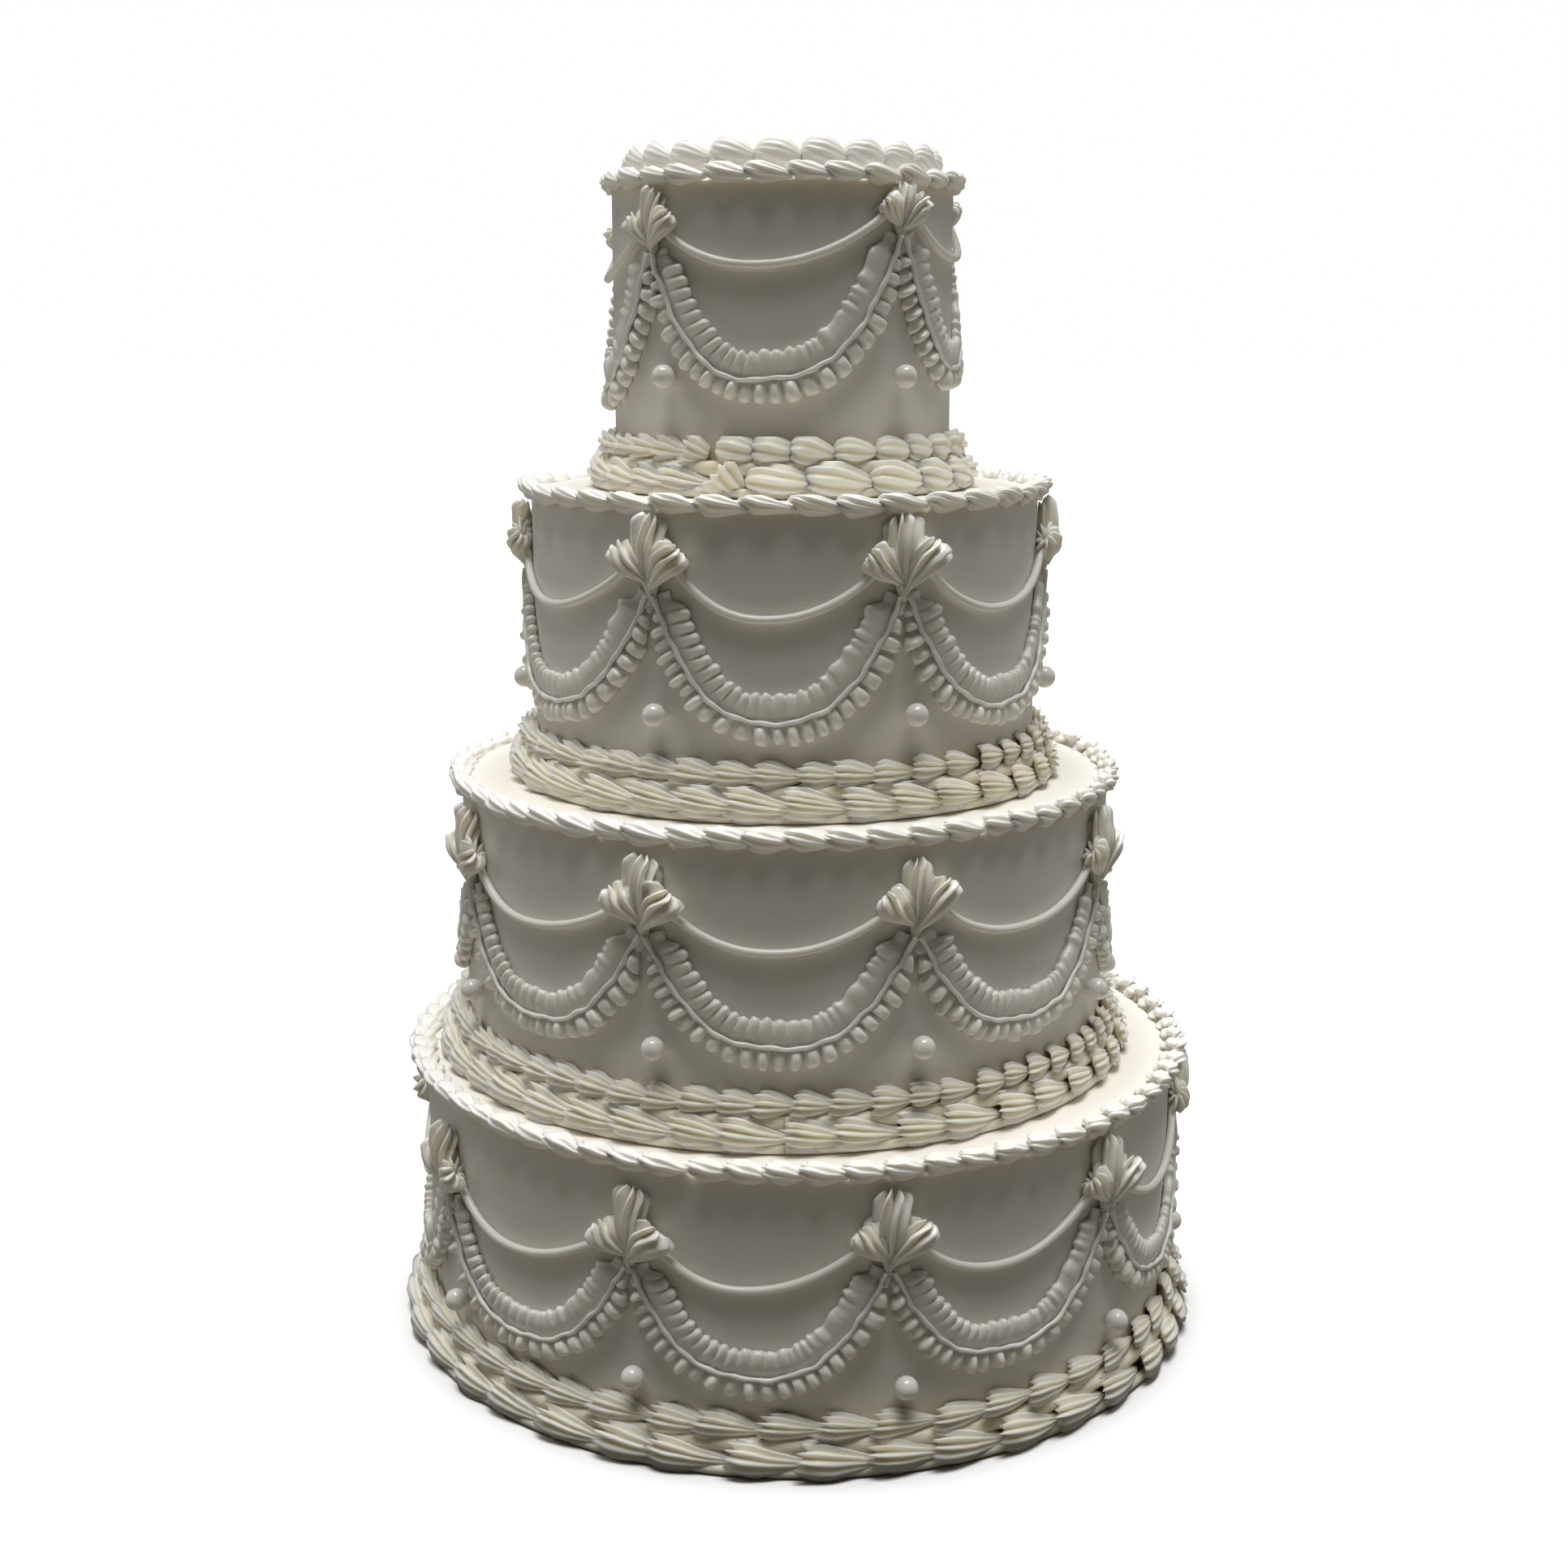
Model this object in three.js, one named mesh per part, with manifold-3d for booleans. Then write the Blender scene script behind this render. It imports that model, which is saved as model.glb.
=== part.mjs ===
// A four-tier wedding cake with piped buttercream, in millimetres, +Z up. The front faces -Y and
// the cake stands on z = 0. Tiers are numbered from the top down, and each is built on its own foot
// and axis. A place on a tier's wall is given by its azimuth, 0 at the front and growing towards +X,
// and by its height above the tier's foot.
import * as THREE from 'three';
import { ParametricGeometry } from 'three/addons/geometries/ParametricGeometry.js';
import { mergeVertices } from 'three/addons/utils/BufferGeometryUtils.js';
import Module from 'manifold-3d';

const wasm = await Module();
wasm.setup();

// Driving dimensions.
const tierHeight = 130;
const tierSides = 36;
const gap = 0.3; // between pieces that touch

// One entry a tier: how far its axis stands to the right of the lowest tier's, the wall's radius,
// the bevel that its top border sits on, that border's reach past the wall, its lift and its shells,
// the shells of the two borders at the foot, and the posts (the piped fleurs-de-lis) that the
// festoons hang from, with the pearls below them. postDrop is how far below the tier's top a post's shells meet, and postTilt
// how much that differs between the right and the left side.
const tiers = [
  {
    shift: -7.6, radius: 75.5, bevel: 3, rimReach: 6.3, rimLift: 2, rimShells: 28,
    upperShells: 32, lowerShells: 24, posts: [-116, -44.4, 39.3, 112, 178],
    pearls: [-114, -38.4, 40.2, 114, 180], postSize: 0.76,
    postDrop: 24, postTilt: 5.3, ropeSag: 10, festoonSag: 57,
  },
  {
    shift: -6.6, radius: 115, bevel: 6, rimReach: 7.5, rimLift: 0, rimShells: 37,
    upperShells: 44, lowerShells: 34, posts: [-150.5, -88, -27.7, 24.4, 84, 146.5],
    pearls: [-149, -86.5, -26.8, 27.1, 85.5, 148], postSize: 1,
    postDrop: 36, postTilt: 0, ropeSag: 10, festoonSag: 52,
  },
  {
    shift: -6.7, radius: 150, bevel: 6, rimReach: 6.7, rimLift: 0.5, rimShells: 57,
    upperShells: 62, lowerShells: 42, posts: [-156, -110, -65.5, -22.1, 20.5, 65, 110, 157],
    pearls: [-154.5, -108.5, -64, -20.4, 21.6, 64.5, 111.5, 158.5], postSize: 1, postDrop: 39, postTilt: 0, ropeSag: 7, festoonSag: 47,
  },
  {
    shift: 0, radius: 177, bevel: 6, rimReach: 8.9, rimLift: 0.5, rimShells: 70,
    upperShells: 48, lowerShells: 40,
    posts: [-168, -132, -96, -60.3, -23, 11.5, 46.9, 84, 120, 156],
    pearls: [-166.5, -130.5, -94.5, -57.3, -22.4, 13.7, 49.5, 85.5, 121.5, 157.5], postSize: 1,
    postDrop: 41, postTilt: 5, ropeSag: 9, festoonSag: 47,
  },
];

// The two borders at the foot of each tier, and the one of large shells on the cake's top, just
// inside the top tier's rim: how far each reaches outwards, its height and where it starts. Its
// cross-sections, where a shell is full and where it is pinched, are given corner by corner as
// shares of the reach and the height.
const lowerRow = {
  reach: 14, height: 15.5, start: 0,
  full: [[0, 0], [0.94, 0], [1, 0.45], [0.14, 1]],
  pinched: [[0, 0], [0.6, 0], [0.07, 0.6], [0.07, 0.6]],
};
const upperRow = {
  reach: 9, height: 10, start: 15.8,
  full: [[0, 0], [1, 0.35], [0, 1]],
  pinched: [[0, 0.15], [0.5, 0.3], [0, 0.65]],
};
const crown = {
  shells: 21, innerRadius: 56, reach: 15, height: 18, start: tierHeight + gap,
  full: [[0, 0], [1, 0], [0.85, 0.65], [0.35, 1]],
  pinched: [[0.15, 0], [0.85, 0], [0.45, 0.55], [0.45, 0.55]],
};

// The rim border's corners: the lowest reaches out past the wall, below or above the tier's top by
// toe and toePinched, the highest stands over the wall, and the inner one rests on the top.
const rim = { toe: -1, toePinched: -1.5, pinch: 0.6, crest: [1.5, 4.5], inner: 0.7 };

// A shell is fullest at shellCrest of its length and narrows to its tail.
const shellCrest = 0.24;

// The three shells of a post: the upright one and the two that lean to its sides. A shell starts at
// from and ends at length, measured along it from a point that is up above the junction, and
// its underside stands proud of the wall.
const postShell = {
  width: 14.5, height: 11, section: [[0.5, 0], [0.3, 0.9], [-0.3, 0.9], [-0.5, 0]], crest: 0.66,
  tailLift: 0.1, headLift: 0.35,
};
const uprightShell = { lean: 0, from: -5, length: 30, up: 0, proud: 0 };
const sideShell = { lean: 44, from: 6, length: 24, up: 4, proud: 0.6 };

// The smooth drape and the ruffled festoon between two posts. Their straight facets clear the wall
// over a span of that many of the rope's steps, and of that many of the festoon's half widths. The
// festoon's ends are points inside the posts, anchor above and outside where their shells meet.
const rope = { diameter: 3.2, steps: 4, startAcross: 10, startUp: 11, bend: 2.2, span: 1.1 };
const festoon = {
  steps: 7, reach: 9.5, thick: 5.5, wave: 1.2, bend: 2.5, startAcross: 6.5, startUp: -4,
  taper: 0.45, taperBend: 6, span: 2.8, anchor: 2,
};
const postHeadroom = 1; // between a post's upright shell and the tier's bevel
const nudge = 0.01; // the step in t that gives a drape's direction

const pearl = { radius: 5, drop: [80, 87, 89, 94] };

const cream = { color: 0xf3eedd, roughness: 0.45 };
const borderCream = { color: 0xf2ead0, roughness: 0.45 };
const pearlWhite = { color: 0xf4f0e6, roughness: 0.2 };

const radians = THREE.MathUtils.degToRad;
const onWall = (angle, radius, z) => new THREE.Vector3(
  radius * Math.sin(angle), -radius * Math.cos(angle), z,
);

// The radius at which a straight stretch that spans this angle still clears the wall.
const seat = (radius, span) => (radius + gap) / Math.cos(span / 2);

// Shared vertices are merged and collapsed triangles dropped, which closes a geometry.
function closed(geometry) {
  geometry.deleteAttribute('normal');
  geometry.deleteAttribute('uv');
  const merged = mergeVertices(geometry, 1e-4);
  const source = merged.getIndex().array;
  const index = [];
  for (let i = 0; i < source.length; i += 3) {
    const [a, b, c] = [source[i], source[i + 1], source[i + 2]];
    if (a !== b && b !== c && c !== a) {
      index.push(a, b, c);
    }
  }
  merged.setIndex(index);
  return merged;
}

// A surface over whole steps: place(i, j) gives the point at step i along and step j around.
function grid(along, around, place) {
  return closed(new ParametricGeometry((u, v, target) => {
    target.copy(place(Math.round(u * along), Math.round(v * around) % around));
  }, along, around));
}

// A ring of shells. Each shell has two cross-sections, a pinched one where the last tail ends and
// the full one at its crest. A corner is [outwards, up] from the wall's foot, at the full and at the
// pinched section.
function shellRing(count, radius, z, full, pinched) {
  const pitch = 2 * Math.PI / count;
  const base = seat(radius, (1 - shellCrest) * pitch);
  return grid(2 * count, full.length, (i, j) => {
    const isCrest = i % 2 === 1;
    const angle = (Math.floor(i / 2) % count + (isCrest ? shellCrest : 0)) * pitch;
    const [out, up] = (isCrest ? full : pinched)[j];
    return onWall(angle, base + out, z + up);
  });
}

function scaled(corners, { reach, height }) {
  return corners.map(([out, up]) => [out * reach, up * height]);
}

function tierBody({ radius, bevel }, foot) {
  const profile = [
    [0, foot], [radius, foot], [radius, tierHeight - bevel], [radius - bevel, tierHeight],
    [0, tierHeight],
  ].map(([x, y]) => new THREE.Vector2(x, y));
  return closed(new THREE.LatheGeometry(profile, tierSides).rotateX(Math.PI / 2));
}

// The rim border straddles the tier's bevelled top edge.
function rimBorder({ radius, bevel, rimReach, rimLift, rimShells }) {
  const wallCorner = [gap, gap - bevel];
  const topCorner = [-bevel, rim.inner];
  const [crestOut, crestUp] = rim.crest;
  const full = [wallCorner, [rimReach, rimLift + rim.toe], [crestOut, rimLift + crestUp], topCorner];
  const pinched = [
    wallCorner, [rim.pinch * rimReach, rimLift + rim.toePinched], topCorner, topCorner,
  ];
  return shellRing(rimShells, radius, tierHeight, full, pinched);
}

function border(count, radius, foot, row) {
  return shellRing(count, radius, foot + row.start, scaled(row.full, row), scaled(row.pinched, row));
}

// One shell of a post. It has one full cross-section and comes to a point at both ends.
function postShellBody(tier, post, { lean, from, length, up, proud }) {
  const size = tier.postSize;
  const base = seat(tier.radius, size * length / tier.radius) + proud;
  const { width, height, section, crest, tailLift, headLift } = postShell;
  const stations = [
    { along: from, girth: 0, lift: tailLift },
    { along: crest * length, girth: 1, lift: 0 },
    { along: length, girth: 0, lift: headLift },
  ];
  const slant = radians(lean);
  return grid(stations.length - 1, section.length, (i, j) => {
    const { along, girth, lift } = stations[i];
    const across = section[j][0] * width * girth;
    const rise = (section[j][1] * girth + lift) * height;
    const x = along * Math.sin(slant) + across * Math.cos(slant);
    const y = along * Math.cos(slant) - across * Math.sin(slant) + up;
    return onWall(post.angle + size * x / tier.radius, base + size * rise, post.z + size * y);
  });
}

// The point of a drape between two posts, at t from -1 to 1.
function drapePoint(tier, from, to, t, sag, { startAcross, startUp, bend }) {
  const inset = startAcross * tier.postSize / tier.radius;
  const share = (t + 1) / 2;
  const rise = sag + startUp * tier.postSize;
  return {
    angle: THREE.MathUtils.lerp(from.angle + inset, to.angle - inset, share),
    z: THREE.MathUtils.lerp(from.z, to.z, share) - sag + rise * Math.abs(t) ** bend,
  };
}

function ropeBody(tier, from, to) {
  const step = (to.angle - from.angle) / rope.steps;
  const radius = seat(tier.radius, rope.span * step) + rope.diameter / 2;
  const places = [];
  for (let i = 0; i <= rope.steps; i += 1) {
    const point = drapePoint(tier, from, to, 2 * i / rope.steps - 1, tier.ropeSag, rope);
    places.push(onWall(point.angle, radius, point.z));
  }
  const round = [0, 1, 2].map((k) => new THREE.Vector2(0, rope.diameter / 2).rotateAround(
    new THREE.Vector2(), k * 2 * Math.PI / 3,
  ));
  const path = new THREE.CatmullRomCurve3(places);
  const settings = { steps: rope.steps, extrudePath: path, bevelEnabled: false };
  return closed(new THREE.ExtrudeGeometry(new THREE.Shape(round), settings));
}

// The ruffled festoon: a band with waved edges and a ridge, whose ends taper into the two posts.
function festoonBody(tier, from, to) {
  const { steps, reach, thick, wave, taper, taperBend, span, anchor } = festoon;
  const at = (t) => drapePoint(tier, from, to, t, tier.festoonSag, festoon);
  const base = seat(tier.radius, span * (reach + wave) / tier.radius);
  const corners = [[-1, 0], [0, 1], [1, 0]]; // below, ridge and above
  const stations = steps + 2;
  return grid(stations, corners.length, (i, j) => {
    if (i === 0 || i === stations) {
      const post = i === 0 ? from : to;
      return onWall(post.angle, base + anchor, post.z + anchor);
    }
    const t = 2 * (i - 1) / steps - 1;
    const here = at(t);
    const ahead = at(t + nudge);
    const dx = (ahead.angle - here.angle) * tier.radius;
    const dz = ahead.z - here.z;
    const [side, rise] = corners[j];
    const girth = 1 - taper * Math.abs(t) ** taperBend;
    const offset = side * (reach + (i % 2 === 0 ? wave : -wave)) * girth / Math.hypot(dx, dz);
    const angle = here.angle - dz * offset / tier.radius;
    return onWall(angle, base + rise * thick * girth, here.z + dx * offset);
  });
}

function toManifold(geometry) {
  const vertProperties = new Float32Array(geometry.getAttribute('position').array);
  const triVerts = new Uint32Array(geometry.getIndex().array);
  return new wasm.Manifold(new wasm.Mesh({ numProp: 3, vertProperties, triVerts }));
}

function fromManifold(solid) {
  const { vertProperties, triVerts } = solid.getMesh();
  const geometry = new THREE.BufferGeometry();
  geometry.setAttribute('position', new THREE.BufferAttribute(vertProperties, 3));
  geometry.setIndex(new THREE.BufferAttribute(triVerts, 1));
  return geometry;
}

// All the piping on one tier's wall, joined: posts, drapes and festoons right round.
function wallPiping(tier) {
  const posts = tier.posts.map((azimuth) => ({
    angle: radians(azimuth),
    z: tierHeight - tier.postDrop + tier.postTilt * Math.sin(radians(azimuth)),
  }));
  const first = { angle: posts[0].angle + 2 * Math.PI, z: posts[0].z };
  const pieces = [];
  posts.forEach((post, k) => {
    const next = posts[k + 1] ?? first;
    const room = (tierHeight - tier.bevel - postHeadroom - post.z) / tier.postSize;
    const length = Math.min(uprightShell.length, room);
    pieces.push(postShellBody(tier, post, { ...uprightShell, length }));
    pieces.push(postShellBody(tier, post, sideShell));
    pieces.push(postShellBody(tier, post, { ...sideShell, lean: -sideShell.lean }));
    pieces.push(ropeBody(tier, post, next));
    pieces.push(festoonBody(tier, post, next));
  });
  return fromManifold(pieces.map(toManifold).reduce((joined, piece) => joined.add(piece)));
}

function piece(name, geometry, look) {
  const mesh = new THREE.Mesh(geometry, new THREE.MeshStandardMaterial({ ...look, metalness: 0 }));
  mesh.name = name;
  return mesh;
}

// A pearl hangs on the wall under each post.
function pearlOnWall(name, { radius }, azimuth, drop) {
  const bead = piece(name, closed(new THREE.IcosahedronGeometry(pearl.radius, 0)), pearlWhite);
  bead.position.copy(onWall(radians(azimuth), radius + gap + pearl.radius, tierHeight - drop));
  return bead;
}

const cake = new THREE.Group();
tiers.forEach((tier, index) => {
  const number = index + 1;
  const foot = index === tiers.length - 1 ? 0 : gap; // the lowest tier stands on the table
  const layer = new THREE.Group();
  layer.position.set(tier.shift, 0, (tiers.length - number) * tierHeight);
  layer.add(piece(`tier_${number}`, tierBody(tier, foot), cream));
  layer.add(piece(`rim_${number}`, rimBorder(tier), cream));
  const lower = border(tier.lowerShells, tier.radius, foot, lowerRow);
  layer.add(piece(`base_lower_${number}`, lower, borderCream));
  const upper = border(tier.upperShells, tier.radius, 0, upperRow);
  layer.add(piece(`base_upper_${number}`, upper, borderCream));
  layer.add(piece(`drape_${number}`, wallPiping(tier), cream));
  tier.pearls.forEach((azimuth, k) => {
    layer.add(pearlOnWall(`pearl_${number}_${k + 1}`, tier, azimuth, pearl.drop[index]));
  });
  if (index === 0) {
    layer.add(piece('crown_1', border(crown.shells, crown.innerRadius, 0, crown), cream));
  }
  cake.add(layer);
});

export default cake;
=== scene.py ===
import math

import bpy
import numpy as np
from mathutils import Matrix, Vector


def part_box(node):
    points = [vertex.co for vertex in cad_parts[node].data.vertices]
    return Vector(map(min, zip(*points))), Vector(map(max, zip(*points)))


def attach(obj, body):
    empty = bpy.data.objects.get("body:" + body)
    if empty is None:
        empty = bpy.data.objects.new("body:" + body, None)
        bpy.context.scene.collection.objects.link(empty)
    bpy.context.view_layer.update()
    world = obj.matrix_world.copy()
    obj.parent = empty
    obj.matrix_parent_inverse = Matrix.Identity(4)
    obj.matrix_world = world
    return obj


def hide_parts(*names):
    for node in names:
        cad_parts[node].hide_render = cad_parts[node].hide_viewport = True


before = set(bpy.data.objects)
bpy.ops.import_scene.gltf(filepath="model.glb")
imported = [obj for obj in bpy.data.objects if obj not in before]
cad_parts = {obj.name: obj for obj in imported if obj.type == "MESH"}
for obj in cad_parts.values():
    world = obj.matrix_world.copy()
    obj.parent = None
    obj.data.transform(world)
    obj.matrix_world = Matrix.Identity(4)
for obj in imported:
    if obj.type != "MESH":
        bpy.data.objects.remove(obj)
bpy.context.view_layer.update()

# Lengths are in millimetres until a mesh is made. A place on a tier's wall is (along, up, out):
# the arc length round the wall from the front towards +X, the height above the tier's foot and
# the distance outwards.
mm = 0.001
gap = 0.3  # between a piece and what it lies on
boxMargin = 0.05  # between a piece and its node's box
seeds = dict(wall=10, lowerRow=100, upperRow=200, crown=200, rim=300, posts=500, ropes=600, festoons=700,
             star=900)  # plus the tier's number, apart from the crown's and the star's
scene = bpy.context.scene


def nodeBox(node):
    low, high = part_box(node)
    return np.array(low) / mm, np.array(high) / mm


tierHeight = nodeBox("tier_4")[1][2]


# One dictionary for each tier, read from the frame: its axis, wall radius, foot and pearls.
def readTier(number):
    low, high = nodeBox(f"tier_{number}")
    names = [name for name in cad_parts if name.startswith(f"pearl_{number}_")]
    names.sort(key=lambda name: int(name.split("_")[2]))
    return dict(
        number=number, x=(low[0] + high[0]) / 2, radius=(high[0] - low[0]) / 2,
        foot=high[2] - tierHeight, pearlNames=names,
    )


tiers = [readTier(number) for number in (1, 2, 3, 4)]
# What the frame doesn't hold: the posts' azimuths in degrees, the borders and the drapes.
tierDetails = [
    dict(posts=(-116, -44.4, 39.3, 112, 178), bevel=1.5, rimReach=6.3, rimMiddle=2.0,
         rimHeight=8.8, rimShells=28, upperShells=32, lowerShells=24, postSize=0.76,
         postDrop=24, postTilt=5.3, ropeSag=10, festoonSag=57),
    dict(posts=(-150.5, -88, -27.7, 24.4, 84, 146.5), bevel=6, rimReach=7.5, rimMiddle=-0.2,
         rimHeight=9, rimShells=37, upperShells=44, lowerShells=34, postSize=1,
         postDrop=34.8, postTilt=0, ropeSag=11.2, festoonSag=53.2),
    dict(posts=(-156, -110, -65.5, -22.1, 20.5, 65, 110, 157), bevel=6, rimReach=6.7, rimMiddle=-0.2,
         rimHeight=10.4, rimShells=57, upperShells=62, lowerShells=42, postSize=1,
         postDrop=39, postTilt=0, ropeSag=7, festoonSag=47),
    dict(posts=(-168, -132, -96, -60.3, -23, 11.5, 46.9, 84, 120, 156), bevel=6, rimReach=8.9,
         rimMiddle=0.2, rimHeight=10.6, rimShells=70, upperShells=48, lowerShells=40,
         postSize=1, postDrop=41, postTilt=5, ropeSag=9, festoonSag=47),
]
for tier, details in zip(tiers, tierDetails):
    tier.update(details, posts=np.radians(details["posts"]))
print("tiers read:", [round(tier["radius"], 1) for tier in tiers])


# (along, up, out) to (x, y, z): the arc is wrapped round the tier's axis at the given radius.
def wrap(tier, local, radius):
    turn = local[..., 0] / radius
    reach = radius + local[..., 2]
    return np.stack([
        tier["x"] + reach * np.sin(turn), -reach * np.cos(turn), tier["foot"] + local[..., 1],
    ], axis=-1)


# Faces of closed tubes, each of rows rings of columns points. After all the rings come one pole
# for each tube's first end and then one for each last end.
def tubeFaces(count, rows, columns):
    corner = np.arange(columns)
    turned = np.roll(corner, -1)
    tube = (np.arange(count) * rows * columns)[:, None]
    ring = tube[:, :, None] + (np.arange(rows - 1) * columns)[None, :, None]
    quads = np.stack([
        ring + corner, ring + turned, ring + columns + turned, ring + columns + corner,
    ], axis=-1).reshape(-1, 4)
    firstPole = np.broadcast_to(count * (rows * columns) + np.arange(count)[:, None], (count, columns))
    end = tube + (rows - 1) * columns
    first = np.stack([firstPole, tube + turned, tube + corner], axis=-1)
    last = np.stack([firstPole + count, end + corner, end + turned], axis=-1)
    return quads, np.concatenate([first, last]).reshape(-1, 3)


# A piece made of closed tubes: points is (tubes, rows, columns, 3) and hollow, from 0 on a crest
# to 1 in a groove, is (tubes, rows, columns). Hollow is stored on the points, and the material
# paints warm shade into the grooves from it.
def makePiece(name, points, material, nodes, hollow=None):
    count, rows, columns, _ = points.shape
    quads, triangles = tubeFaces(count, rows, columns)
    poles = [points[:, 0].mean(axis=1), points[:, -1].mean(axis=1)]
    vertices = np.concatenate([points.reshape(-1, 3), *poles]) * mm
    mesh = bpy.data.meshes.new(name)
    mesh.vertices.add(len(vertices))
    mesh.vertices.foreach_set("co", vertices.ravel())
    mesh.loops.add(quads.size + triangles.size)
    mesh.loops.foreach_set("vertex_index", np.concatenate([quads.ravel(), triangles.ravel()]))
    starts = np.concatenate([
        np.arange(len(quads)) * 4, quads.size + np.arange(len(triangles)) * 3,
    ])
    mesh.polygons.add(len(starts))
    mesh.polygons.foreach_set("loop_start", starts)
    mesh.update(calc_edges=True)
    mesh.shade_smooth()
    if hollow is not None:
        ends = np.concatenate([hollow[:, 0].mean(axis=1), hollow[:, -1].mean(axis=1)])
        layer = mesh.attributes.new("hollow", "FLOAT", "POINT")
        layer.data.foreach_set("value", np.concatenate([hollow.ravel(), ends]))
    mesh.materials.append(material)
    piece = bpy.data.objects.new(name, mesh)
    scene.collection.objects.link(piece)
    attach(piece, "root")
    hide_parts(*nodes)


waves = dict(count=5, shortest=0.7, longest=1.6)  # their lengths are shares of the size asked for


# Smooth unevenness: a sum of sine waves in random directions, as an offset for each point.
def unevenness(points, size, amount, rng):
    offset = np.zeros_like(points)
    for _ in range(waves["count"]):
        direction = rng.normal(size=3)
        length = size * rng.uniform(waves["shortest"], waves["longest"])
        direction *= 2 * math.pi / (length * np.linalg.norm(direction))
        wave = np.sin(points @ direction + rng.uniform(0, 2 * math.pi))
        offset += wave[..., None] * rng.normal(size=3)
    return offset * amount / math.sqrt(3 * waves["count"])


def addNode(material, kind, **values):
    node = material.node_tree.nodes.new(kind)
    for name, value in values.items():
        node.inputs[name.replace("_", " ")].default_value = value
    return node


# What every buttercream has in common: its noises' detail, the pits' height in metres and how far
# each colour of light spreads in it. The scraper leaves level strokes and a few thin scratches.
cream = dict(cloudDetail=3.0, pitDetail=4.0, pitHeight=0.0006, spread=(1.0, 0.9, 0.7))
scraper = dict(stretch=(1, 1, 14), scale=22.0, detail=5.0, roughness=0.6, height=0.0008,
               scratchFrom=0.66, scratchFull=0.70, scratchDepth=-0.5)


# Buttercream: ivory with painted warm shade in its grooves, faint warmer clouds, small pits and a
# soft skin. The warm colour's share is the groove's depth times the painted shade's weight plus the
# cloud's times another.
def buttercream(name, look):
    material = bpy.data.materials.new(name)
    material.use_nodes = True
    link = material.node_tree.links.new
    shader = material.node_tree.nodes["Principled BSDF"]
    place = addNode(material, "ShaderNodeTexCoord")
    clouds = addNode(material, "ShaderNodeTexNoise", Scale=look["cloudScale"], Detail=cream["cloudDetail"])
    link(place.outputs["Object"], clouds.inputs["Vector"])
    tint = addNode(material, "ShaderNodeMix")
    tint.data_type = "RGBA"
    tint.inputs["A"].default_value = (*look["light"], 1)
    tint.inputs["B"].default_value = (*look["warmToneAndShade"], 1)
    groove = addNode(material, "ShaderNodeAttribute")
    groove.attribute_name = "hollow"
    share = addNode(material, "ShaderNodeMath")
    share.operation = "MULTIPLY_ADD"
    share.inputs[1].default_value = look["paintedShadeTint"]
    link(groove.outputs["Fac"], share.inputs[0])
    cloudShare = addNode(material, "ShaderNodeMath")
    cloudShare.operation = "MULTIPLY"
    cloudShare.inputs[1].default_value = look["cloudTint"]
    link(clouds.outputs["Fac"], cloudShare.inputs[0])
    link(cloudShare.outputs[0], share.inputs[2])
    link(share.outputs[0], tint.inputs["Factor"])
    link(tint.outputs["Result"], shader.inputs["Base Color"])
    pits = addNode(material, "ShaderNodeTexNoise", Scale=look["pitScale"], Detail=cream["pitDetail"])
    link(place.outputs["Object"], pits.inputs["Vector"])
    bump = addNode(material, "ShaderNodeBump", Strength=look["bump"], Distance=cream["pitHeight"])
    link(pits.outputs["Fac"], bump.inputs["Height"])
    link(bump.outputs["Normal"], shader.inputs["Normal"])
    if look["strokes"] > 0:
        scrape(material, place, bump, look["strokes"])
    shader.inputs["Roughness"].default_value = look["roughness"]
    shader.inputs["Subsurface Weight"].default_value = look["glow"]
    shader.inputs["Subsurface Radius"].default_value = cream["spread"]
    shader.inputs["Subsurface Scale"].default_value = look["glowDepth"]
    shader.inputs["Specular IOR Level"].default_value = look["shine"]
    return material


# Level strokes and scratches, as one more bump under the pits' bump.
def scrape(material, place, bump, strength):
    link = material.node_tree.links.new
    stretch = addNode(material, "ShaderNodeMapping", Scale=scraper["stretch"])
    strokes = addNode(material, "ShaderNodeTexNoise", Scale=scraper["scale"], Detail=scraper["detail"],
                      Roughness=scraper["roughness"])
    scratch = addNode(material, "ShaderNodeMapRange", From_Min=scraper["scratchFrom"],
                      From_Max=scraper["scratchFull"], To_Min=0.0, To_Max=scraper["scratchDepth"])
    height = addNode(material, "ShaderNodeMath")
    carved = addNode(material, "ShaderNodeBump", Strength=strength, Distance=scraper["height"])
    link(place.outputs["Object"], stretch.inputs["Vector"])
    link(stretch.outputs["Vector"], strokes.inputs["Vector"])
    link(strokes.outputs["Fac"], scratch.inputs["Value"])
    link(strokes.outputs["Fac"], height.inputs[0])
    link(scratch.outputs["Result"], height.inputs[1])
    link(height.outputs[0], carved.inputs["Height"])
    link(carved.outputs["Normal"], bump.inputs["Normal"])


# Each look's warm colour is both the clouds' own tone and the painted warm shade in grooves and crevices.
wallLook = dict(
    light=(0.88, 0.857, 0.81), warmToneAndShade=(0.88, 0.79, 0.60), cloudScale=14.0, cloudTint=0.3, paintedShadeTint=0.8,
    pitScale=900.0, bump=0.12, strokes=0.2, roughness=0.5, glow=0.35, glowDepth=0.004, shine=0.4,
)
rimLook = dict(
    light=(0.93, 0.927, 0.905), warmToneAndShade=(0.89, 0.83, 0.68), cloudScale=40.0, cloudTint=0.2,
    paintedShadeTint=0.4, pitScale=1500.0, bump=0.06, strokes=0.0, roughness=0.4, glow=0.5,
    glowDepth=0.005, shine=0.5,
)
drapeLook = dict(rimLook, light=(0.93, 0.912, 0.84), warmToneAndShade=(0.87, 0.79, 0.58), paintedShadeTint=0.5,
                 roughness=0.33, glow=0.5, glowDepth=0.004, shine=0.6)
footLook = dict(rimLook, light=(0.955, 0.927, 0.855), warmToneAndShade=(0.95, 0.82, 0.54), paintedShadeTint=0.6, glow=0.8,
                glowDepth=0.006)
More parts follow.
